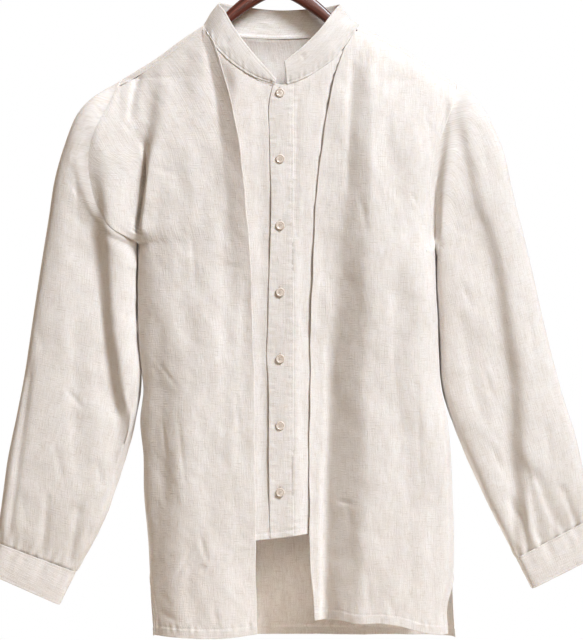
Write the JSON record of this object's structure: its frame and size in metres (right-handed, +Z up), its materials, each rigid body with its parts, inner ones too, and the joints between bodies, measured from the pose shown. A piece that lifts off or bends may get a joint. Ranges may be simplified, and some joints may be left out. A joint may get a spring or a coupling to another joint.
{
  "type": "linen shirt jacket on a wooden hanger",
  "caption": "Open two-layer linen shirt jacket with a band collar, long cuffed sleeves and side slits, hanging on a wooden hanger with a steel hook",
  "frame": {"origin": "inside top of the hanger's hook, where a rail carries it", "axes": "+Z up, the garment's front faces -Y, the wearer's left is +X"},
  "size_m": [0.7778, 0.1058, 0.8919],
  "materials": {
    "linen": "natural undyed plain-weave linen",
    "button_shell": "polished shell",
    "stained_wood": "dark red-brown stain under satin lacquer",
    "plated_steel": "bright plated wire"
  },
  "bodies": {
    "root": {"back": "linen", "front_outer_right": "linen", "front_outer_left": "linen", "front_inner_right": "linen", "front_inner_left": "linen", "button_band": "linen", "collar": "linen", "sleeve_right": "linen", "sleeve_left": "linen", "cuff_right": "linen", "cuff_left": "linen", "button_1": "button_shell", "button_2": "button_shell", "button_3": "button_shell", "button_4": "button_shell", "button_5": "button_shell", "button_6": "button_shell", "button_7": "button_shell", "hanger_wood": "stained_wood", "hanger_hook": "plated_steel"}
  },
  "joints": []
}
